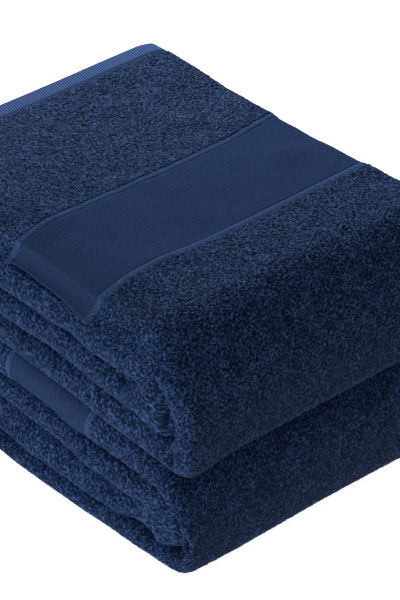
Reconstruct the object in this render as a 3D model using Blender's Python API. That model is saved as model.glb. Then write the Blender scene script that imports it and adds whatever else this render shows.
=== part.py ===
"""A set of two bath towels, folded and stacked.

Both towels are the same terry cloth, cut flat to cloth_width by cloth_length. Each is folded lengthwise in
thirds, like a letter, and then crosswise in half twice, so a pack is four layers of three plies.
The pack's width runs along X, its length along Y, and it stands on Z = 0. The sewn end that shows on top
is at +Y, and the big fold that wraps all four layers is at -Y.
Every woven zone is made as a flat slab in the cut cloth and is then folded by the same two rules.
"""

import math

import bmesh
import bpy
from mathutils import Vector

# The cut cloth, in metres
cloth_width = 0.760
cloth_length = 1.320

# Thickness of one ply where it lies in the stack, and the room left between neighbours
ply_pitch = 0.00728
clearance = 0.0003

# Woven zones along the cloth, measured from the sewn end that shows on top, where the one border is
end_hem_width = 0.020
band_start = 0.150
rib_width = 0.0045
band_width = 0.0835
side_hem_width = 0.012

# The flat-woven zones are thinner than the looped pile
hem_thickness = 0.0036
band_thickness = 0.0042
rib_thickness = 0.0056

# Sewing thread, and its distance from the inner edge of a hem
thread_thickness = 0.0006
seam_inset = 0.0015

# How the pack is folded
tuck_gap = 0.002  # the tucked long edge stops this far short of the fold that wraps it
side_setback = 0.004  # the loose long edge lies this far inside the pack's side
top_end_setback = 0.012  # the sewn end on top lies this far inside the pack's back
tucked_end_setback = 0.017  # the sewn end one layer below it
fold_slack = 0.0086  # inner radius of the big fold at its foot, where its filling doesn't reach

# Facets in a half turn of the small folds, and in each quarter of the big fold
side_fold_facets = 6
small_fold_facets = 6
big_fold_facets = 5

finishes = {  # linear colour, roughness
    "terry_pile": ((0.025, 0.054, 0.133, 1), 0.95),
    "dobby_band": ((0.018, 0.037, 0.100, 1), 0.75),
    "woven_rib": ((0.046, 0.092, 0.230, 1), 0.8),
    "flat_hem": ((0.080, 0.144, 0.342, 1), 0.8),
    "sewing_thread": ((0.034, 0.072, 0.185, 1), 0.6),
}

layer = 3 * ply_pitch
half_layer = layer / 2
pack_height = 4 * layer


def bend(radius, turn, facets):
    """A bent run of a strip: its length, the angle it turns to the left, and its facets."""
    return radius * abs(turn), turn, facets


def straight(length):
    return length, 0.0, 1


def width_runs():
    """The cloth's width, from the tucked long edge to the loose one, and the pack's width."""
    wrapping_room = 1.5 * math.pi * ply_pitch
    ends = tuck_gap + side_setback
    pack_width = (cloth_width + 6.5 * ply_pitch + ends - wrapping_room) / 3
    across = pack_width - 2.5 * ply_pitch
    runs = [
        straight(across - tuck_gap),
        bend(ply_pitch / 2, math.pi, side_fold_facets - 2),
        straight(across),
        bend(ply_pitch, math.pi, side_fold_facets),
        straight(pack_width - side_setback - 1.5 * ply_pitch),
    ]
    return runs, pack_width


def length_runs():
    """The cloth's length, from the sewn end on top to the tucked one, and the pack's length."""
    foot_radius = half_layer + fold_slack
    shoulder_radius = 3 * layer - foot_radius
    nose = shoulder_radius + half_layer
    quarter = math.pi / 2
    bends = quarter * 3 * layer + 2 * math.pi * half_layer
    setbacks = top_end_setback + tucked_end_setback + 2 * layer
    taken = setbacks + 3 * nose + half_layer + foot_radius
    pack_length = (cloth_length - bends + taken) / 4
    runs = [
        straight(pack_length - top_end_setback - nose),
        bend(shoulder_radius, quarter, big_fold_facets),
        bend(foot_radius, quarter, big_fold_facets),
        straight(pack_length - layer - half_layer - foot_radius),
        bend(half_layer, math.pi, small_fold_facets),
        straight(pack_length - layer - nose),
        bend(half_layer, -math.pi, small_fold_facets),
        straight(pack_length - tucked_end_setback - nose),
    ]
    return runs, pack_length


def follow(runs, start, heading, travel, face_offset):
    """Where a point of a strip comes to lie: travel along its runs, then face_offset off its face side.

    The face side is on the right of the heading, so a turn to the left keeps it outside.
    """
    place = Vector(start)
    for length, turn, _ in runs:
        step = min(travel, length)
        if turn:
            turned = turn * step / length
            radius = length / turn
            place.x += radius * (math.sin(heading + turned) - math.sin(heading))
            place.y -= radius * (math.cos(heading + turned) - math.cos(heading))
            heading += turned
        else:
            place += step * Vector((math.cos(heading), math.sin(heading)))
        travel -= step
        if travel <= 0:
            break
    return place + face_offset * Vector((math.sin(heading), -math.cos(heading)))


def creases(runs):
    """The distances along a strip at which its facets meet."""
    at, found = 0.0, []
    for length, _, facets in runs:
        found += [at + length * i / facets for i in range(1, facets + 1)]
        at += length
    return found[:-1]


across_runs, pack_width = width_runs()
along_runs, pack_length = length_runs()


def fold(point):
    """A point of the flat cloth (across, along, height off mid-ply) where it lies in the folded pack."""
    across, along, height = point
    tucked_edge = (1.5 * ply_pitch + tuck_gap - pack_width / 2, 0)
    section = follow(across_runs, tucked_edge, 0, across, height)
    top_end = (pack_length / 2 - top_end_setback, pack_height - half_layer)
    lying = follow(along_runs, top_end, math.pi, along, section.y)
    return Vector((section.x, lying.x, lying.y - clearance / 2))


def zone_mesh(name, across, along, thickness, height=0.0):
    """A slab of the flat cloth between two pairs of lines, cut at the folds' facets and folded."""
    low = Vector((across[0], along[0], height - thickness / 2))
    high = Vector((across[1], along[1], height + thickness / 2))
    inset = Vector((clearance / 2, clearance / 2, 0))
    size = high - low - 2 * inset
    slab = bmesh.new()
    bmesh.ops.create_cube(slab, size=1)
    bmesh.ops.scale(slab, vec=size, verts=slab.verts)
    bmesh.ops.translate(slab, vec=(low + high) / 2, verts=slab.verts)
    for axis, runs in ((0, across_runs), (1, along_runs)):
        normal = Vector((axis == 0, axis == 1, 0))
        for at in creases(runs):
            if low[axis] + clearance < at < high[axis] - clearance:
                everything = slab.verts[:] + slab.edges[:] + slab.faces[:]
                bmesh.ops.bisect_plane(slab, geom=everything, plane_co=normal * at, plane_no=normal)
    for vertex in slab.verts:
        vertex.co = fold(vertex.co)
    mesh = bpy.data.meshes.new(name)
    slab.to_mesh(mesh)
    slab.free()
    return mesh


def finish_material(name):
    colour, roughness = finishes[name]
    material = bpy.data.materials.new(name)
    material.use_nodes = True
    shader = material.node_tree.nodes["Principled BSDF"]
    shader.inputs["Base Color"].default_value = colour
    shader.inputs["Roughness"].default_value = roughness
    shader.inputs["Metallic"].default_value = 0.0
    return material


def woven_zones():
    """Each woven zone's name, its lines across and along the cloth, its thickness and its finish."""
    terry_thickness = ply_pitch - clearance
    inner = (side_hem_width, cloth_width - side_hem_width)
    whole = (0, cloth_width)
    tucked = (0, side_hem_width)
    loose = (cloth_width - side_hem_width, cloth_width)
    last_hem = cloth_length - end_hem_width
    between_hems = (end_hem_width, last_hem)
    outer_rib = (band_start, band_start + rib_width)
    band = (outer_rib[1], outer_rib[1] + band_width)
    inner_rib = (band[1], band[1] + rib_width)
    return [
        ("top_end_hem", whole, (0, end_hem_width), hem_thickness, "flat_hem"),
        ("top_end_terry", inner, (end_hem_width, band_start), terry_thickness, "terry_pile"),
        ("outer_rib", inner, outer_rib, rib_thickness, "woven_rib"),
        ("dobby_band", inner, band, band_thickness, "dobby_band"),
        ("inner_rib", inner, inner_rib, rib_thickness, "woven_rib"),
        ("main_terry", inner, (inner_rib[1], last_hem), terry_thickness, "terry_pile"),
        ("tucked_end_hem", whole, (last_hem, cloth_length), hem_thickness, "flat_hem"),
        ("tucked_side_hem", tucked, between_hems, hem_thickness, "flat_hem"),
        ("loose_side_hem", loose, between_hems, hem_thickness, "flat_hem"),
    ]


def seams():
    """Each line of stitches' name and its lines across and along the cloth. It lies on the face side."""
    line = (seam_inset, seam_inset + thread_thickness + clearance)
    along_hem = (end_hem_width - line[1], end_hem_width - line[0])
    other_hem = (cloth_length - along_hem[1], cloth_length - along_hem[0])
    beside_hem = (side_hem_width - line[1], side_hem_width - line[0])
    other_side = (cloth_width - beside_hem[1], cloth_width - beside_hem[0])
    whole = (seam_inset, cloth_width - seam_inset)
    between_hems = (end_hem_width, cloth_length - end_hem_width)
    return [
        ("top_end_seam", whole, along_hem),
        ("tucked_end_seam", whole, other_hem),
        ("tucked_side_seam", beside_hem, between_hems),
        ("loose_side_seam", other_side, between_hems),
    ]


def towel_meshes():
    """One mesh for each zone and seam of a towel, in the pack's own place on Z = 0."""
    materials = {name: finish_material(name) for name in finishes}
    meshes = {}
    for name, across, along, thickness, finish in woven_zones():
        meshes[name] = zone_mesh(name, across, along, thickness)
        meshes[name].materials.append(materials[finish])
    on_hem = hem_thickness / 2 + clearance + thread_thickness / 2
    for name, across, along in seams():
        meshes[name] = zone_mesh(name, across, along, thread_thickness, on_hem)
        meshes[name].materials.append(materials["sewing_thread"])
    return meshes


def place_towel(name, meshes, height):
    """A towel: an empty that carries its pieces, standing at this height."""
    carrier = bpy.data.objects.new(f"{name}_towel", None)
    carrier.location.z = height
    bpy.context.scene.collection.objects.link(carrier)
    for part, mesh in meshes.items():
        piece = bpy.data.objects.new(f"{name}_{part}", mesh)
        piece.parent = carrier
        bpy.context.scene.collection.objects.link(piece)


for old in list(bpy.data.objects):
    bpy.data.objects.remove(old)
towel = towel_meshes()
place_towel("lower", towel, 0)
place_towel("upper", towel, pack_height)
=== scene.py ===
"""A stack of two folded bath towels of navy cotton terry, each with one flat border."""

import itertools
import math

import bmesh
import bpy
import numpy as np
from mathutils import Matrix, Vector


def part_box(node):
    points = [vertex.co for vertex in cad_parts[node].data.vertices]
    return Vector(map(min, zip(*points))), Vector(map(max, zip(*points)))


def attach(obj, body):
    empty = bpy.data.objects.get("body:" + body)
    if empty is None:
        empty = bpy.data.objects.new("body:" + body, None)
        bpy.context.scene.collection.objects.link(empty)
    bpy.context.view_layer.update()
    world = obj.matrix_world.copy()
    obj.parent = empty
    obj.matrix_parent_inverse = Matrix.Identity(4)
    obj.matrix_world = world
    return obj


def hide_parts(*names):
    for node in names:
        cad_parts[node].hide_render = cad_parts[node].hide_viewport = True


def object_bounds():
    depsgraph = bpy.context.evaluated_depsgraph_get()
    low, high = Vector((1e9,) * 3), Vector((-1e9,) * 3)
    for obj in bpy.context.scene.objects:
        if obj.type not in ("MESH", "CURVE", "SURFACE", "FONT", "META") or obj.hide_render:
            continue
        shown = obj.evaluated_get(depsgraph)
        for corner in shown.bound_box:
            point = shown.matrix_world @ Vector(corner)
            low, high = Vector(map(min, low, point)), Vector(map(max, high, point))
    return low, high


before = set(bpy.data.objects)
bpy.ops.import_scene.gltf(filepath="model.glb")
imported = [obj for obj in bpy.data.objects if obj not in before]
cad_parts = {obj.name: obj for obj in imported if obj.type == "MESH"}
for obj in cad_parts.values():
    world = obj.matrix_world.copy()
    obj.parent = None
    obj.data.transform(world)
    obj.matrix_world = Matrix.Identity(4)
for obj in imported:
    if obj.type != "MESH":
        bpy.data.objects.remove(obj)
cad_low, cad_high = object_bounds()

# ---------------------------------------------------------------------------------------------
# The ground cloth of each towel: the woven sheet that carries the loops. One cloth is folded
# lengthwise in thirds and crosswise in half twice, so its plies lie inside each other.
# It is a soft base that shows only in the gaps between loops, coloured nearly black as painted shade of those
# gaps.
# ---------------------------------------------------------------------------------------------

towels = ("lower", "upper")
cloth_width, cloth_length = 0.760, 1.320
pack_width, pack_length = cad_high.x - cad_low.x, cad_high.y - cad_low.y
pack_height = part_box("upper_main_terry")[0].z
ply = pack_height / 12
layer = 3 * ply
half_layer = layer / 2
fold_slack = 0.0086
tuck_gap, side_setback = 0.002, 0.004
side_hem_width, end_hem_width = 0.012, 0.020
band_start, rib_width, band_width = 0.150, 0.0045, 0.0835
outer_rib = (band_start, band_start + rib_width)
band = (outer_rib[1], outer_rib[1] + band_width)
inner_rib = (band[1], band[1] + rib_width)
last_hem = cloth_length - end_hem_width
between_hems = (side_hem_width, cloth_width - side_hem_width)
top_end_setback, tucked_end_setback = 0.012, 0.017

foot_radius = half_layer + fold_slack
shoulder_radius = 3 * layer - foot_radius
nose = shoulder_radius + half_layer
nose_start = nose - pack_length / 2  # where the top layer begins to turn down
foot_y, foot_z = foot_radius + half_layer - pack_length / 2, foot_radius + half_layer  # its foot's middle
nothing = 1e-9  # keeps a length from being zero where it divides

# The straight and bent runs of the folded cloth: each one's length and the angle it turns
across_run = pack_width - 2.5 * ply
across_runs = (
    (across_run - tuck_gap, 0),
    (math.pi * ply / 2, math.pi),
    (across_run, 0),
    (math.pi * ply, math.pi),
    (pack_width - side_setback - 1.5 * ply, 0),
)
along_runs = (
    (pack_length - top_end_setback - nose, 0),
    (shoulder_radius * math.pi / 2, math.pi / 2),
    (foot_radius * math.pi / 2, math.pi / 2),
    (pack_length - layer - half_layer - foot_radius, 0),
    (half_layer * math.pi, math.pi),
    (pack_length - layer - nose, 0),
    (half_layer * math.pi, -math.pi),
    (pack_length - tucked_end_setback - nose, 0),
)
across_stops = np.cumsum([0] + [length for length, _ in across_runs])
along_stops = np.cumsum([0] + [length for length, _ in along_runs])

# How far the cloth lies from a neat fold, the same for both towels
ridge_out, ridge_flare, ridge_shift = 0.0085, 0.005, 0.0056  # the ridge, its flare and its shift inwards
border_askew, border_dip = 0.0085, 0.001
corner_round = 0.006  # how far the sewn end's far corner is drawn in
left_wave, right_wave, crease_wave, top_swell = 0.0022, 0.0016, 0.0012, 0.002
near_corner_sink, bottom_lift, bottom_askew = 0.005, 0.0022, 0.004
filling_margin, filling_fade = 0.02, 0.12  # the cloth's length past its fold that is drawn up, and fades

# Each towel rests in its own way. foot: how square the foot of its big fold is. wrap: how thin the cloth is
# drawn there. reach and sag: how far the filling is drawn into that fold, and how far it sinks. droop: how
# far the wrapped edge of the top layer hangs. ridge: whether that edge is pressed to a ridge. spread: how far
# the bottom layer comes out. lift: how far the far corner of the sewn end stands up. meet: the heights at
# which the layers meet on the wrapped side. dents: each one's place on that side, its depth, and its width
# and height
rests = {
    "lower": {
        "foot": 3.7,
        "wrap": 0.50,
        "reach": 1.98,
        "sag": 0.15,
        "droop": 0.004,
        "ridge": 0,
        "spread": 0.009,
        "lift": 0,
        "meet": (0, 0.0150, 0.0355, 0.0558, 0.0874),
        "dents": (
            (-0.132, 0.0185, 0.012, 0.007, 0.0035),
            (-0.1185, 0.0195, 0.009, 0.007, 0.0035),
            (-0.1625, 0.051, 0.011, 0.0022, 0.006),
            (-0.1675, 0.0425, 0.012, 0.0022, 0.007),
            (-0.1725, 0.031, 0.013, 0.0022, 0.008),
            (-0.167, 0.0195, 0.010, 0.003, 0.005),
        ),
    },
    "upper": {
        "foot": 6.0,
        "wrap": 0.80,
        "reach": 1.70,
        "sag": 0.35,
        "droop": 0.0105,
        "ridge": 1,
        "spread": 0.002,
        "lift": 0.0045,
        "meet": (0, 0.0222, 0.0436, 0.0665, 0.0874),
        "dents": (
            (-0.111, 0.040, 0.007, 0.009, 0.0045),
            (-0.055, 0.044, 0.005, 0.009, 0.0045),
            (-0.152, 0.035, 0.008, 0.0022, 0.007),
            (-0.1525, 0.023, 0.009, 0.0022, 0.006),
            (-0.159, 0.0115, 0.008, 0.003, 0.004),
        ),
    },
}


def follow(runs, start, heading, travel, face_offset):
    """Where points of a strip lie: travel along its straight and bent runs, then off its face side."""
    first = np.full_like(travel, start[0])
    second = np.full_like(travel, start[1])
    heading = np.full_like(travel, heading)
    left = travel.copy()
    for i, (length, turn) in enumerate(runs):
        step = np.maximum(left, 0) if i == len(runs) - 1 else np.clip(left, 0, length)
        if turn:
            radius = length / turn
            turned = heading + turn * step / length
            first += radius * (np.sin(turned) - np.sin(heading))
            second -= radius * (np.cos(turned) - np.cos(heading))
            heading = turned
        else:
            first += step * np.cos(heading)
            second += step * np.sin(heading)
        left = left - length
    return first + face_offset * np.sin(heading), second - face_offset * np.cos(heading)


def rise(low, high, value):
    """0 before low, 1 after high, and smooth between."""
    t = np.clip((value - low) / (high - low), 0, 1)
    return t * t * (3 - 2 * t)


def wander(value, seed, length):
    """A smooth wave without a repeat, between about -1 and 1, whose humps are about this long."""
    phase = np.random.default_rng(seed).uniform(0, 2 * math.pi, 4)
    found = 0
    for i, (share, stretch) in enumerate(((0.45, 1), (0.3, 1.7), (0.2, 2.9), (0.12, 4.6))):
        found = found + share * np.sin(math.pi * value * stretch / length + phase[i])
    return found


def squared(first, second, power):
    """How many times farther out a point lies when the round corner it belongs to is made squarer."""
    radius = np.hypot(first, second)
    return ((first / radius) ** power + (second / radius) ** power) ** (-1 / power)


def fill_big_fold(rest, along, y, z):
    """The inner fold, drawn up close to the cloth that wraps it. Also how far each point belongs to it."""
    inner = rise(along_stops[5] + filling_fade, along_stops[6] - filling_margin, along)
    inner = inner * (1 - rise(along_stops[7] + filling_margin, along_stops[7] + filling_fade, along))
    past = np.maximum(nose_start - y, 0) * inner
    reach = rest["reach"] * past
    hollow = nose - rest["wrap"] * layer
    y = y - (reach - past)
    z = z - rest["sag"] * (hollow - np.sqrt(np.maximum(hollow**2 - reach**2, 0)))

    # Its lower side is pressed into the foot of the big fold, where the wrapping cloth is thin
    ahead = np.maximum(nose_start - y, nothing) / (rest["reach"] * layer)
    below = np.maximum(2 * layer - z, nothing) / layer
    grow = np.where((y < nose_start) & (z < 2 * layer), (squared(ahead, below, 3) - 1) * inner, 0)
    y = y - (nose_start - y) * grow
    z = z - (2 * layer - z) * grow
    freed = (1 - rest["wrap"]) * layer * (1 - rise(foot_y, foot_y + 0.03, y))
    z = z - freed * inner * np.clip((2 * layer - z) / layer, 0, 1)
    return inner, y, z


def square_foot(rest, inner, y, z):
    """The foot of the big fold, which is squarer than a round one."""
    down_y, down_z = np.maximum(foot_y - y, nothing), np.maximum(foot_z - z, nothing)
    weight = rise(0.5 * fold_slack, foot_radius + half_layer, np.hypot(down_y, down_z))
    grow = (squared(down_y, down_z, rest["foot"]) - 1) * weight * (1 - inner)
    grow = np.where((y < foot_y) & (z < foot_z), grow, 0)
    return y - down_y * grow, z - down_z * grow


def press_ridge(x, y, z):
    """The wrapped edge of the top layer, pressed to a ridge with a slanting face below it."""
    edge_x, edge_z = half_layer - pack_width / 2, 3.5 * layer
    size = np.hypot(edge_x - x, z - edge_z) / half_layer
    round_the_edge = np.arctan2(edge_x - x, z - edge_z) / math.pi
    corners = (0, 0.72, 0.86, 1)  # round the edge from top to bottom, as shares of a half turn
    out = np.interp(round_the_edge, corners, (0, 0.95, 0.85, 0))
    height = np.interp(round_the_edge, corners, (1, -0.6, -0.88, -1))
    out = out * (ridge_out + ridge_flare * (1 - rise(-0.08, 0.01, y)))

    # It fades out where the top layer turns down, and towards the sewn end
    on_edge = (x < edge_x) * (1 - rise(half_layer, half_layer + 0.002, np.abs(z - edge_z)))
    on_edge = on_edge * rise(nose_start - 0.026, nose_start, y) * (1 - rise(0.06, 0.14, y))
    return x + (edge_x - size * out - x) * on_edge, z + (edge_z + size * height * half_layer - z) * on_edge


def settle(towel, along, x, y, z):
    """How the soft pack rests: its filling sags against the big fold, and its edges droop and wander."""
    rest = rests[towel]
    seed = 11 if towel == "upper" else 23
    from_left, from_right = x + pack_width / 2, pack_width / 2 - x
    on_top = 1 - rise(along_stops[1] - 0.01, along_stops[2], along)
    inner, y, z = fill_big_fold(rest, along, y, z)
    y, z = square_foot(rest, inner, y, z)
    if rest["ridge"]:
        x, z = press_ridge(x, y, z)
    in_top = np.clip((z - 3 * layer) / layer, 0, 1)
    x = x + rest["ridge"] * ridge_shift * (1 - rise(0, 0.06, from_left)) * rise(0, 0.3, in_top)

    # The layers' own thickness on the side of the wrapped edge
    meet = np.interp(z, np.arange(5) * layer, rest["meet"])
    left_side = 1 - rise(0.01, 0.10, from_left)
    z = z + (meet - z) * left_side * rise(nose_start - 0.04, nose_start + 0.01, y)

    # The top layer droops towards the wrapped edge, and the bottom one spreads under the load
    z = z - rest["droop"] * np.clip(1 - from_left / 0.05, 0, 1) ** 1.5 * in_top
    in_bottom = 1 - rise(0.5 * layer, 1.6 * layer, z)
    left_edge = 1 - rise(0, 0.05, from_left)
    from_nose = y + pack_length / 2
    x = x - rest["spread"] * in_bottom * left_edge * rise(0.0, 0.17, from_nose)
    for dent_y, dent_z, depth, wide, tall in rest["dents"]:
        x = x + depth * left_edge * np.exp(-(((y - dent_y) / wide) ** 2) - ((z - dent_z) / tall) ** 2)

    # The border runs a little askew, and dips at the other edge
    askew = border_askew * np.clip((x + 0.005) / 0.115, 0, 1.1) ** 1.6
    y = y + askew * on_top * rise(nose_start - 0.03, 0, y) * (1 - 0.6 * rise(0.05, 0.15, y))
    in_band = rise(band[0] - 0.01, band[0] + 0.01, along) * (1 - rise(band[1] - 0.01, band[1] + 0.01, along))
    z = z - border_dip * in_band * (1 - rise(0, 0.03, from_right)) * in_top

    # The sewn end's far corner is round, and on the upper towel it lifts. The lower one's lies under the load
    far_end = on_top * in_top * rise(0.05, 0.16, y)
    z = z + rest["lift"] * rise(-0.08, 0.12, x) * far_end
    y = y - corner_round * rise(0.112, 0.132, x) * far_end

    # The fold edges aren't straight
    right_edge = 1 - rise(0, 0.045, from_right)
    x = x + left_wave * wander(along, seed, 0.09) * left_edge * (1 - 0.7 * in_bottom)
    x = x + right_wave * wander(along, seed + 1, 0.13) * right_edge
    within = rise(0, 0.012, z) * (1 - rise(0.075, 0.0874, z))
    z = z + crease_wave * wander(along, seed + 2, 0.07) * left_edge * within

    # The upper towel's top swells here and there, and the lower towel's bottom lies askew at the near corner
    if towel == "upper":
        swell = wander(x + 0.4 * y, seed + 3, 0.08) * wander(y - 0.3 * x, seed + 4, 0.07)
        z = z + top_swell * swell * in_top * rise(0, 0.05, from_nose) * (1 - rise(0.08, 0.15, y))
    else:
        corner = in_bottom * left_edge * (1 - rise(0.01, 0.05, from_nose))
        z = z + bottom_lift * corner
        y = y - bottom_askew * rise(-0.02, 0.13, x) * in_bottom * (1 - rise(0, 0.05, from_nose))

    # Both towels sink a little where they meet at the near corner
    touching = 1 - rise(0, 0.035, z) if towel == "upper" else rise(0.052, 0.0874, z)
    z = z - near_corner_sink * touching * left_edge * (1 - rise(0.05, 0.14, from_nose))
    return x, y, z


def lay(towel, flat):
    """Points of the flat cloth (across, along, height off mid-ply) where they lie in the stack."""
    across, along, height = np.asarray(flat, float).T
    tucked_edge = (1.5 * ply + tuck_gap - pack_width / 2, 0)
    x, off = follow(across_runs, tucked_edge, 0, across, height)
    top_end = (pack_length / 2 - top_end_setback, pack_height - half_layer)
    in_nose = rise(along_stops[1] - 0.01, along_stops[2], along)
    in_nose = in_nose * (1 - rise(along_stops[2] + 0.01, along_stops[3] + 0.03, along))
    off = half_layer - (half_layer - off) * (1 - (1 - rests[towel]["wrap"]) * in_nose)
    y, z = follow(along_runs, top_end, math.pi, along, off)
    x, y, z = settle(towel, along, x, y, z)
    if towel == "upper":
        z = z + pack_height
    return np.stack([x, y, z], axis=1)


def grid_lines(runs, low, high, step, offset):
    """Places of a grid's lines, this far apart on the outside of the folded cloth."""
    at, grown = [0.0], [0.0]
    for length, turn in runs:
        at.append(at[-1] + length)
        grown.append(grown[-1] + length + offset * abs(turn))
    first, last = np.interp((low, high), at, grown)
    return np.interp(np.linspace(first, last, max(2, round((last - first) / step) + 1)), grown, at)


def points_of(mesh):
    found = np.empty(len(mesh.vertices) * 3, np.float32)
    mesh.vertices.foreach_get("co", found)
    return found.reshape(-1, 3).astype(float)


def flat_grid(name, columns, rows, walled):
    """A grid of the flat cloth with its lines at these places, and each point's side: 1 on the face."""
    grid = bmesh.new()
    bmesh.ops.create_grid(grid, x_segments=len(columns) - 1, y_segments=len(rows) - 1, size=0.5)
    bmesh.ops.translate(grid, vec=(0.5, 0.5, 0), verts=grid.verts)
    if walled:
        bmesh.ops.solidify(grid, geom=grid.faces[:], thickness=1)
    mesh = bpy.data.meshes.new(name)
    grid.to_mesh(mesh)
    grid.free()
    flat = points_of(mesh)
    flat[:, 0] = np.interp(flat[:, 0] * (len(columns) - 1), range(len(columns)), columns)
    flat[:, 1] = np.interp(flat[:, 1] * (len(rows) - 1), range(len(rows)), rows)
    side = np.where(flat[:, 2] > flat[:, 2].mean() - 1e-6, 1.0, -1.0)
    return mesh, flat, side


def add_attribute(mesh, name, values):
    kind, key = ("FLOAT_VECTOR", "vector") if values.ndim == 2 else ("FLOAT", "value")
    mesh.attributes.new(name, kind, "POINT").data.foreach_set(key, values.astype(np.float32).ravel())


def add_piece(mesh, material, towel, points):
    """The mesh with its points in place, as a piece of the stack that rides on its towel."""
    mesh.vertices.foreach_set("co", points.astype(np.float32).ravel())
    mesh.update()
    mesh.materials.append(material)
    mesh.shade_smooth()
    piece = bpy.data.objects.new(mesh.name, mesh)
    bpy.context.scene.collection.objects.link(piece)
    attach(piece, f"{towel}_towel")
    return piece


def folded_slab(name, towel, across, along, step, height_of):
    """A slab of the flat cloth folded where it lies. height_of gives each point's height off mid-ply."""
    columns = grid_lines(across_runs, *across, step[0], ply / 2)
    rows = grid_lines(along_runs, *along, step[1], half_layer)
    mesh, flat, side = flat_grid(f"{towel}_{name}", columns, rows, walled=True)
    flat[:, 2] = height_of(flat, side)
    add_attribute(mesh, "cloth", flat)
    return mesh, lay(towel, flat)


def linear(code):
    """An sRGB hex colour as the linear values a shader takes."""
    parts = [int(code[i : i + 2], 16) / 255 for i in (1, 3, 5)]
    return tuple(c / 12.92 if c <= 0.04045 else ((c + 0.055) / 1.055) ** 2.4 for c in parts) + (1,)


def new_material(name, roughness, specular=0.2, sheen=0.0):
    made = bpy.data.materials.new(name)
    made.use_nodes = True
    shader = made.node_tree.nodes["Principled BSDF"]
    shader.inputs["Roughness"].default_value = roughness
    shader.inputs["Specular IOR Level"].default_value = specular
    shader.inputs["Sheen Weight"].default_value = sheen
    return made, made.node_tree, shader


def add_node(tree, kind, settings=None, links=None):
    """A node with its settings, and its inputs set or linked by name or place."""
    node = tree.nodes.new(kind)
    for key, value in (settings or {}).items():
        setattr(node, key, value)
    for key, value in (links or {}).items():
        if isinstance(value, bpy.types.NodeSocket):
            tree.links.new(value, node.inputs[key])
        else:
            node.inputs[key].default_value = value
    return node


def colours(tree, value, *stops):
    """A blend of sRGB hex colours at these places, driven by a value."""
    ramp = add_node(tree, "ShaderNodeValToRGB", links={"Fac": value})
    while len(ramp.color_ramp.elements) < len(stops):
        ramp.color_ramp.elements.new(0.5)
    for element, (place, code) in zip(ramp.color_ramp.elements, stops):
        element.position = place
        element.color = linear(code)
    return ramp.outputs["Color"]


def bump(tree, shader, height, distance):
    relief = add_node(tree, "ShaderNodeBump", links={"Strength": 1.0, "Distance": distance, "Height": height})
    tree.links.new(relief.outputs["Normal"], shader.inputs["Normal"])


# Woven cotton seen between loops: matt, painted nearly black as the shade in the gaps, in specks of 1.5 mm
# where tufts stand
tufts_per_metre = 650.0
shade_painted_ground_cloth, tree, shader = new_material("ground_cloth_painted_gap_shade", 1.0, specular=0.05)
cloth_place = add_node(tree, "ShaderNodeAttribute", {"attribute_name": "cloth"})
tufts = add_node(
    tree,
    "ShaderNodeTexNoise",
    links={
        "Vector": cloth_place.outputs["Vector"],
        "Scale": tufts_per_metre,
        "Detail": 2.0,
        "Distortion": 1.2,
    },
)
# Painted shade: the cloth's colour stays near black, for the gaps the loops shade
shade = colours(tree, tufts.outputs["Fac"], (0.3, "#0a1328"), (0.7, "#1d2d50"))
tree.links.new(shade, shader.inputs["Base Color"])
bump(tree, shader, tufts.outputs["Fac"], 0.001)

ground_thickness = 0.0044
ground_step = (0.005, 0.006)
terry_parts = {"top_end_terry": (end_hem_width, band_start), "main_terry": (inner_rib[1], last_hem)}


def ground_height(flat, side):
    return side * ground_thickness / 2


for towel in towels:
    for part, along in terry_parts.items():
        name = part.replace("terry", "cloth")
        mesh, placed = folded_slab(name, towel, between_hems, along, ground_step, ground_height)
        cloth = add_piece(mesh, shade_painted_ground_cloth, towel, placed)
        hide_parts(f"{towel}_{part}")

# ---------------------------------------------------------------------------------------------
# The pile: loops of soft cotton yarn, washed so that they curl, lean and crowd each other. They stand about
# 1.7 mm out of the ground cloth, on all of the cloth that is open to view when the pack is folded. Their
# colour is painted dark at the root, as the shade they cast on each other, and paler at the tip.

pile_foot, pile_depth = 0.0021, 0.0018
loop_size, strand_size, clump_size, sway_size = 0.0016, 0.0011, 0.011, 0.0031
lean, curl = 0.0009, 0.0003  # how far the loops lean over, and how far their tips curl
skirt, skirt_wander = 0.0016, 0.0012  # where the pile slopes down to a flat weave, and how unevenly
outside_face = 0.003  # the middle of the pile off mid-ply, where its grid is measured
slope_count, hash_primes = 4096, (73856093, 19349663, 83492791)


def cloth_noise(points, cell, seed):
    """Smooth random values between about -1 and 1, with lumps about this size."""
    slopes = np.random.default_rng(seed).normal(size=(slope_count, 3))
    slopes /= np.linalg.norm(slopes, axis=1, keepdims=True)
    scaled = points / cell
    base = np.floor(scaled).astype(np.int64)
    part = scaled - base
    fade = part**3 * (part * (part * 6 - 15) + 10)
    found = np.zeros(len(points))
    for corner in itertools.product((0, 1), repeat=3):
        at = (base + corner) * hash_primes
        slope = slopes[(at[:, 0] ^ at[:, 1] ^ at[:, 2]) & (slope_count - 1)]
        share = np.where(corner, fade, 1 - fade).prod(axis=1)
        found += share * np.einsum("ij,ij->i", slope, part - corner)
    return found * 1.5


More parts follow.
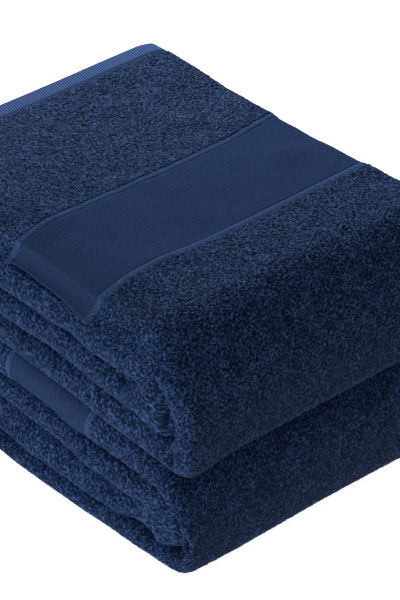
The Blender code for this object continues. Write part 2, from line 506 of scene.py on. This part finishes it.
def pile_patch(name, towel, across, along, step, skirts=()):
    """The loops over a stretch of the folded cloth's face. Along its skirts they end at a flat weave."""
    columns = grid_lines(across_runs, *across, step, outside_face)
    rows = grid_lines(along_runs, *along, step, ply + outside_face)
    mesh, flat, _ = flat_grid(f"{towel}_{name}", columns, rows, walled=False)
    flat[:, 2] = pile_foot + pile_depth / 2
    base = lay(towel, flat)

    # The loops stand in winding ridges, broken up by their strands and gathered into faint clumps
    sway = np.stack([cloth_noise(base, sway_size, 40 + i) for i in range(3)], axis=1)
    bent = base + lean * sway
    loops = 1 - np.minimum(1, np.abs(cloth_noise(bent, loop_size, 50)) * 2.6)
    strands = cloth_noise(bent, strand_size, 51)
    clumps = cloth_noise(base, clump_size, 52)
    up = np.clip(0.5 + 0.65 * (loops - 0.46) + 0.75 * strands + 0.08 * clumps, 0, 1)

    # Beside a flat weave they get shorter
    full = np.ones(len(flat))
    for axis, place, inwards in skirts:
        full *= rise(0, skirt, (flat[:, axis] - place) * inwards + skirt_wander * sway[:, 0])
    reached = 0.3 + 0.7 * np.sqrt(up)
    flat[:, 2] = pile_foot + pile_depth * reached * full
    # How far each point reaches up its loop, which the colour reads to paint the roots in shade
    add_attribute(mesh, "tip", up * full + 0.45 * (1 - full))

    # The flat cloth is its own unwrapping, with a small margin
    uv = mesh.uv_layers.new(name="OFBake")
    corner_vertices = np.empty(len(mesh.loops), np.int32)
    mesh.loops.foreach_get("vertex_index", corner_vertices)
    spread = (flat[:, :2] - flat[:, :2].min(axis=0)) / np.ptp(flat[:, :2], axis=0)
    uv.data.foreach_set("uv", (0.01 + 0.98 * spread)[corner_vertices].astype(np.float32).ravel())
    placed = lay(towel, flat) + curl * sway * up[:, None]
    return add_piece(mesh, cotton_loops, towel, placed)


# Dyed cotton yarn: matt, with a faint sheen of loose fibres and a clear blue at the loops' tips. Towards the
# root the colour is painted shade, nearly black where the loops shade each other. The fibres' specks of 0.7
# mm are coarser than real ones, so that they show
fibres_per_metre, clouds_per_metre = 1500.0, 45.0
fibre_share, cloud_share = 0.5, 0.12
darkest, palest = 0.28, 1.28
cotton_loops, tree, shader = new_material("cotton_terry_loops", 0.95, specular=0.1, sheen=0.15)
shader.inputs["Sheen Roughness"].default_value = 0.5
shader.inputs["Sheen Tint"].default_value = linear("#7f9ac8")
tip = add_node(tree, "ShaderNodeAttribute", {"attribute_name": "tip"})
place = add_node(tree, "ShaderNodeTexCoord")
fibre = add_node(
    tree,
    "ShaderNodeTexNoise",
    links={"Vector": place.outputs["Object"], "Scale": fibres_per_metre, "Detail": 2.0},
)
cloud = add_node(
    tree,
    "ShaderNodeTexNoise",
    links={"Vector": place.outputs["Object"], "Scale": clouds_per_metre, "Detail": 2.0},
)
mixed = add_node(
    tree,
    "ShaderNodeMath",
    {"operation": "MULTIPLY_ADD"},
    {0: fibre.outputs["Fac"], 1: fibre_share, 2: tip.outputs["Fac"]},
)
mixed = add_node(
    tree,
    "ShaderNodeMath",
    {"operation": "MULTIPLY_ADD"},
    {0: cloud.outputs["Fac"], 1: cloud_share, 2: mixed.outputs[0]},
)
level = add_node(
    tree,
    "ShaderNodeMapRange",
    links={"Value": mixed.outputs[0], "From Min": darkest, "From Max": palest},
)
# Painted shade: the lower a point lies on its loop, the nearer its colour comes to black
shade = colours(tree, level.outputs[0], (0.0, "#030a1a"), (0.5, "#192f57"), (1.0, "#4f72ae"))
tree.links.new(shade, shader.inputs["Base Color"])
bump(tree, shader, fibre.outputs["Fac"], 0.0005)

# The strips of the cloth's face that show round the folds at the sides, and the face between them
past_fold, past_open_edge = 0.009, 0.012
right_fold, left_fold = across_stops[1:3], across_stops[3:5]
face = (right_fold[0] - past_fold, left_fold[1] + past_open_edge)
strips = {
    "left": (left_fold[0] - past_fold, left_fold[1] + past_open_edge),
    "right": (right_fold[0] - past_fold, right_fold[1] + past_fold),
}
lap, overlap = 0.001, 0.0009  # where two patches meet, and where one meets a flat weave

# The spacing of each patch's grid, close where the pile is seen best
face_steps = {"upper": (0.00066, 0.0006), "lower": (0.00085, 0.0007)}
side_steps = {"left": 0.00085, "right": 0.0011}
back_step, underside_step = 0.0011, 0.002

for towel in towels:
    top_step, front_step = face_steps[towel]
    top_end = (end_hem_width - overlap, band_start + overlap)
    shoulder = (inner_rib[1] - overlap, along_stops[1] + 0.02)
    big_fold = (shoulder[1] - lap, along_stops[3] + lap)
    bottom = (along_stops[3], along_stops[4])
    back_fold = (along_stops[4] - lap, along_stops[5] + past_open_edge)
    filling = (along_stops[5], last_hem)
    underside = (strips["right"][1] - lap, strips["left"][0] + lap)
    top_skirts = [(1, top_end[0], 1), (1, top_end[1], -1)]
    top_pile = [pile_patch("top_end_loops", towel, face, top_end, top_step, top_skirts)]
    main_pile = [
        pile_patch("shoulder_loops", towel, face, shoulder, top_step, [(1, shoulder[0], 1)]),
        pile_patch("nose_loops", towel, face, big_fold, front_step),
        pile_patch("back_fold_loops", towel, face, back_fold, back_step),
        pile_patch("underside_loops", towel, underside, bottom, underside_step),
    ]
    for side, strip in strips.items():
        step = side_steps[side]
        main_pile.append(pile_patch(f"{side}_bottom_loops", towel, strip, bottom, step))
        skirts = [(1, last_hem, -1)]
        main_pile.append(pile_patch(f"{side}_filling_loops", towel, strip, filling, step, skirts))
    for part, pieces in (("top_end_terry", top_pile), ("main_terry", main_pile)):
        along = terry_parts[part]

# ---------------------------------------------------------------------------------------------
# The border: a flat band of fine dobby weave that lies a little lower than the loops, and the
# raised cord on each side of it. It goes round the wrapped edge with the cloth.
# ---------------------------------------------------------------------------------------------

band_thickness, rib_edge, rib_crown = 0.0052, 0.0028, 0.0032
rib_lap = 0.0005  # how far each cord reaches over the band and the pile
band_lump, band_lump_size = 0.00025, 0.012
cord_grain, cord_grain_size = 0.00015, 0.0022
band_step, cord_step = (0.0025, 0.0025), (0.0012, 0.00064)

# Fine cotton yarn woven flat: matt and even, with faint slubs of 2.4 mm across the towel
slubs_per_metre = 420.0
dobby_weave, tree, shader = new_material("dobby_weave", 1.0, specular=0.0)
cloth_place = add_node(tree, "ShaderNodeAttribute", {"attribute_name": "cloth"})
stretched = add_node(
    tree,
    "ShaderNodeMapping",
    links={"Vector": cloth_place.outputs["Vector"], "Scale": (1.0, 2.2, 1.0)},
)
slubs = add_node(
    tree,
    "ShaderNodeTexNoise",
    links={
        "Vector": stretched.outputs["Vector"],
        "Scale": slubs_per_metre,
        "Detail": 3.0,
        "Roughness": 0.6,
    },
)
shade = colours(tree, slubs.outputs["Fac"], (0.3, "#2a3c60"), (0.7, "#3d547f"))
tree.links.new(shade, shader.inputs["Base Color"])
bump(tree, shader, slubs.outputs["Fac"], 0.0006)

# Thick cotton yarns laid side by side: matt, and paler than the band, with a grain of 1.4 mm
yarns_per_metre = 700.0
cord_weave, tree, shader = new_material("cord_weave", 1.0, specular=0.0)
cloth_place = add_node(tree, "ShaderNodeAttribute", {"attribute_name": "cloth"})
yarns = add_node(
    tree,
    "ShaderNodeTexNoise",
    links={
        "Vector": cloth_place.outputs["Vector"],
        "Scale": yarns_per_metre,
        "Detail": 2.0,
        "Distortion": 0.8,
    },
)
shade = colours(tree, yarns.outputs["Fac"], (0.3, "#334a77"), (0.75, "#5371a6"))
tree.links.new(shade, shader.inputs["Base Color"])
bump(tree, shader, yarns.outputs["Fac"], 0.0008)


def band_height(flat, side):
    lumps = cloth_noise(flat * (1, 2, 0) + (0, 0, 1), band_lump_size, 60) * band_lump
    return side * (band_thickness / 2 + lumps)


def cord_height(middle):
    def height(flat, side):
        off = np.clip(np.abs(flat[:, 1] - middle) / (rib_width / 2), 0, 1)
        crown = rib_edge + (rib_crown - rib_edge) * (1 - off**4)
        return side * (crown + cord_grain * cloth_noise(flat * (1, 1, 0), cord_grain_size, 61))

    return height


for towel in towels:
    mesh, placed = folded_slab("dobby_weave", towel, between_hems, band, band_step, band_height)
    weave = add_piece(mesh, dobby_weave, towel, placed)
    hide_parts(f"{towel}_dobby_band")
    for part, along in (("outer_rib", outer_rib), ("inner_rib", inner_rib)):
        name = part.replace("rib", "cord")
        lapped = (along[0] - rib_lap, along[1] + rib_lap)
        height = cord_height(sum(along) / 2)
        mesh, placed = folded_slab(name, towel, between_hems, lapped, cord_step, height)
        cord = add_piece(mesh, cord_weave, towel, placed)
        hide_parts(f"{towel}_{part}")

# ---------------------------------------------------------------------------------------------
# The hems: the flat-woven edges, turned in and stitched. They are paler than the pile, with fine
# slanted ribs, a round outer edge and a groove where the stitches pull them down.
# ---------------------------------------------------------------------------------------------

hem_thickness, hem_groove = 0.0060, 0.0018
hem_round = 0.0022  # how far in from its free edge a hem is rounded
seam_inset, groove_width = 0.0018, 0.0011
hem_grain, hem_grain_size = 0.0001, 0.004

# Cotton twill, turned in and pressed: matt and pale, in slanting ribs 2 mm apart, which is coarser than real
# ones, so that they show
rib_scale, rib_slant = 160.0, math.radians(12)
hem_weave, tree, shader = new_material("hem_weave", 1.0, specular=0.0)
cloth_place = add_node(tree, "ShaderNodeAttribute", {"attribute_name": "cloth"})
slant = add_node(
    tree,
    "ShaderNodeMapping",
    links={"Vector": cloth_place.outputs["Vector"], "Rotation": (0.0, 0.0, rib_slant)},
)
twill = add_node(
    tree,
    "ShaderNodeTexWave",
    {"wave_type": "BANDS", "bands_direction": "X", "wave_profile": "SIN"},
    {
        "Vector": slant.outputs["Vector"],
        "Scale": rib_scale,
        "Distortion": 0.8,
        "Detail": 1.0,
        "Detail Scale": 3.0,
    },
)
shade = colours(tree, twill.outputs["Fac"], (0.1, "#46629a"), (0.9, "#5f7cb6"))
tree.links.new(shade, shader.inputs["Base Color"])
bump(tree, shader, twill.outputs["Fac"], 0.0004)


def hem_height(axis, edge, inner):
    """Full and round at the free edge, and drawn in along the seam."""

    def height(flat, side):
        across = np.abs(flat[:, axis] - edge)
        width = abs(inner - edge)
        round_edge = np.sqrt(np.clip(across / hem_round, 0.04, 1))
        groove = np.exp(-(((width - seam_inset - across) / groove_width) ** 2))
        full = hem_thickness / 2 * round_edge - (hem_groove / 2) * groove
        return side * (full + hem_grain * cloth_noise(flat * (1, 1, 0), hem_grain_size, 62))

    return height


# Each hem's stretch of the flat cloth, across and along, and its inner line and free edge
whole, inner_right = (0, cloth_width), cloth_width - side_hem_width
hems = {
    "top_end_hem": (whole, (0, end_hem_width), end_hem_width, 0),
    "tucked_end_hem": (whole, (last_hem, cloth_length), last_hem, cloth_length),
    "tucked_side_hem": ((0, side_hem_width), (end_hem_width, last_hem), side_hem_width, 0),
    "loose_side_hem": ((inner_right, cloth_width), (end_hem_width, last_hem), inner_right, cloth_width),
}
end_hem_step, side_hem_step = (0.0022, 0.0008), (0.0008, 0.003)
for towel in towels:
    for part, (across, along, inner_line, edge) in hems.items():
        name = part.replace("hem", "border")
        at_end = across == whole
        step = end_hem_step if at_end else side_hem_step
        height = hem_height(1 if at_end else 0, edge, inner_line)
        mesh, placed = folded_slab(name, towel, across, along, step, height)
        hem = add_piece(mesh, hem_weave, towel, placed)
        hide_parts(f"{towel}_{part}")

# ---------------------------------------------------------------------------------------------
# The seams: a row of short stitches of polyester thread along each hem, in its groove.
# ---------------------------------------------------------------------------------------------

stitch_length, stitch_pitch, thread, stitch_arch = 0.0026, 0.0033, 0.0006, 0.0003

# Spun polyester: a little glossier than cotton, with painted shade in the twist of its plies, about 0.6 mm
# apart
twists_per_metre = 1800.0
polyester_thread, tree, shader = new_material("polyester_thread", 0.55, specular=0.4)
place = add_node(tree, "ShaderNodeTexCoord")
twist_relief_and_shade = add_node(
    tree, "ShaderNodeTexNoise", links={"Vector": place.outputs["Object"], "Scale": twists_per_metre}
)
# Painted shade: the same noise that gives the twist its relief darkens the colour there
shade = colours(tree, twist_relief_and_shade.outputs["Fac"], (0.3, "#243557"), (0.7, "#3a5080"))
tree.links.new(shade, shader.inputs["Base Color"])
bump(tree, shader, twist_relief_and_shade.outputs["Fac"], 0.0003)


def stitches(name, towel, axis, start, stop, place):
    """A row of stitches on the face side, from start to stop along the cloth's axis."""
    count = int((stop - start) / stitch_pitch)
    row = bmesh.new()
    bmesh.ops.create_uvsphere(row, u_segments=6, v_segments=4, radius=0.5)
    one = row.verts[:] + row.edges[:] + row.faces[:]
    for _ in range(count - 1):
        bmesh.ops.duplicate(row, geom=one)
    mesh = bpy.data.meshes.new(f"{towel}_{name}")
    row.to_mesh(mesh)
    row.free()
    local = points_of(mesh).reshape(count, -1, 3)
    middle = start + (np.arange(count) + 0.5) * (stop - start) / count
    flat = np.empty_like(local)
    flat[:, :, axis] = middle[:, None] + local[:, :, 2] * stitch_length
    flat[:, :, 1 - axis] = place + local[:, :, 0] * thread
    on_hem = hem_thickness / 2 - hem_groove / 2
    arch = stitch_arch * (1 - (2 * local[:, :, 2]) ** 2)
    flat[:, :, 2] = on_hem + local[:, :, 1] * thread + arch
    return add_piece(mesh, polyester_thread, towel, lay(towel, flat.reshape(-1, 3)))


# Each row's axis, its start and stop, and its place across
rows = {
    "top_end_seam": (0, seam_inset, cloth_width - seam_inset, end_hem_width - seam_inset),
    "tucked_end_seam": (0, seam_inset, cloth_width - seam_inset, last_hem + seam_inset),
    "tucked_side_seam": (1, end_hem_width, last_hem, side_hem_width - seam_inset),
    "loose_side_seam": (1, end_hem_width, last_hem, cloth_width - side_hem_width + seam_inset),
}
for towel in towels:
    for part, row in rows.items():
        seam = stitches(part.replace("seam", "stitches"), towel, *row)
        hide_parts(f"{towel}_{part}")
        hem = part.replace("seam", "hem")
        across, along, _, _ = hems[hem]

# ---------------------------------------------------------------------------------------------
# The studio: a white paper floor, a large light behind and above on the right, and a low one on
# the left. The camera looks down over the corner between the big fold and the wrapped edge.
# ---------------------------------------------------------------------------------------------

camera_data = bpy.data.cameras.new("camera")
camera_data.lens = 120
camera_data.clip_start = 0.05
camera = bpy.data.objects.new("camera", camera_data)
bpy.context.scene.collection.objects.link(camera)
bpy.context.scene.camera = camera
look = Vector((0.5315, 0.6418, -0.5528))
right = Vector((0.7702, -0.6378, 0))
up = right.cross(look)
middle = Vector((0, -0.0052, pack_height))
camera_distance = 1.417
camera.location = middle - camera_distance * look
aim = look + 0.01545 * right - 0.0043 * up  # a little beside the middle of the stack
camera.rotation_mode = "QUATERNION"
camera.rotation_quaternion = aim.to_track_quat("-Z", "Y")

bpy.context.scene.view_settings.view_transform = "Standard"
world = bpy.data.worlds.new("studio")
bpy.context.scene.world = world
world.use_nodes = True
world.node_tree.nodes["Background"].inputs["Color"].default_value = (1, 1, 1, 1)
world.node_tree.nodes["Background"].inputs["Strength"].default_value = 0.25


def softbox(name, place, size, power):
    data = bpy.data.lights.new(name, "AREA")
    data.shape = "DISK"
    data.size = size
    data.energy = power
    lamp = bpy.data.objects.new(name, data)
    bpy.context.scene.collection.objects.link(lamp)
    lamp.location = place
    lamp.visible_camera = False
    lamp.rotation_mode = "QUATERNION"
    lamp.rotation_quaternion = (middle - Vector(place)).to_track_quat("-Z", "Y")


softbox("key_behind_right", (0.6, 0.9, 0.6), 0.45, 12.5)
softbox("bounce_from_left", (-1.1, -0.05, 0.0), 0.6, 4.9)

# Matt white paper, lit until the stack hardly shades it
paper, _, shader = new_material("white_paper", 0.9)
shader.inputs["Base Color"].default_value = linear("#f6f6f6")
shader.inputs["Emission Color"].default_value = (1, 1, 1, 1)
shader.inputs["Emission Strength"].default_value = 0.9
sweep = bmesh.new()
bmesh.ops.create_grid(sweep, x_segments=1, y_segments=1, size=6)
floor_mesh = bpy.data.meshes.new("floor")
sweep.to_mesh(floor_mesh)
sweep.free()
floor_mesh.materials.append(paper)
floor = bpy.data.objects.new("floor", floor_mesh)
bpy.context.scene.collection.objects.link(floor)
floor.visible_diffuse = False
floor.visible_shadow = False
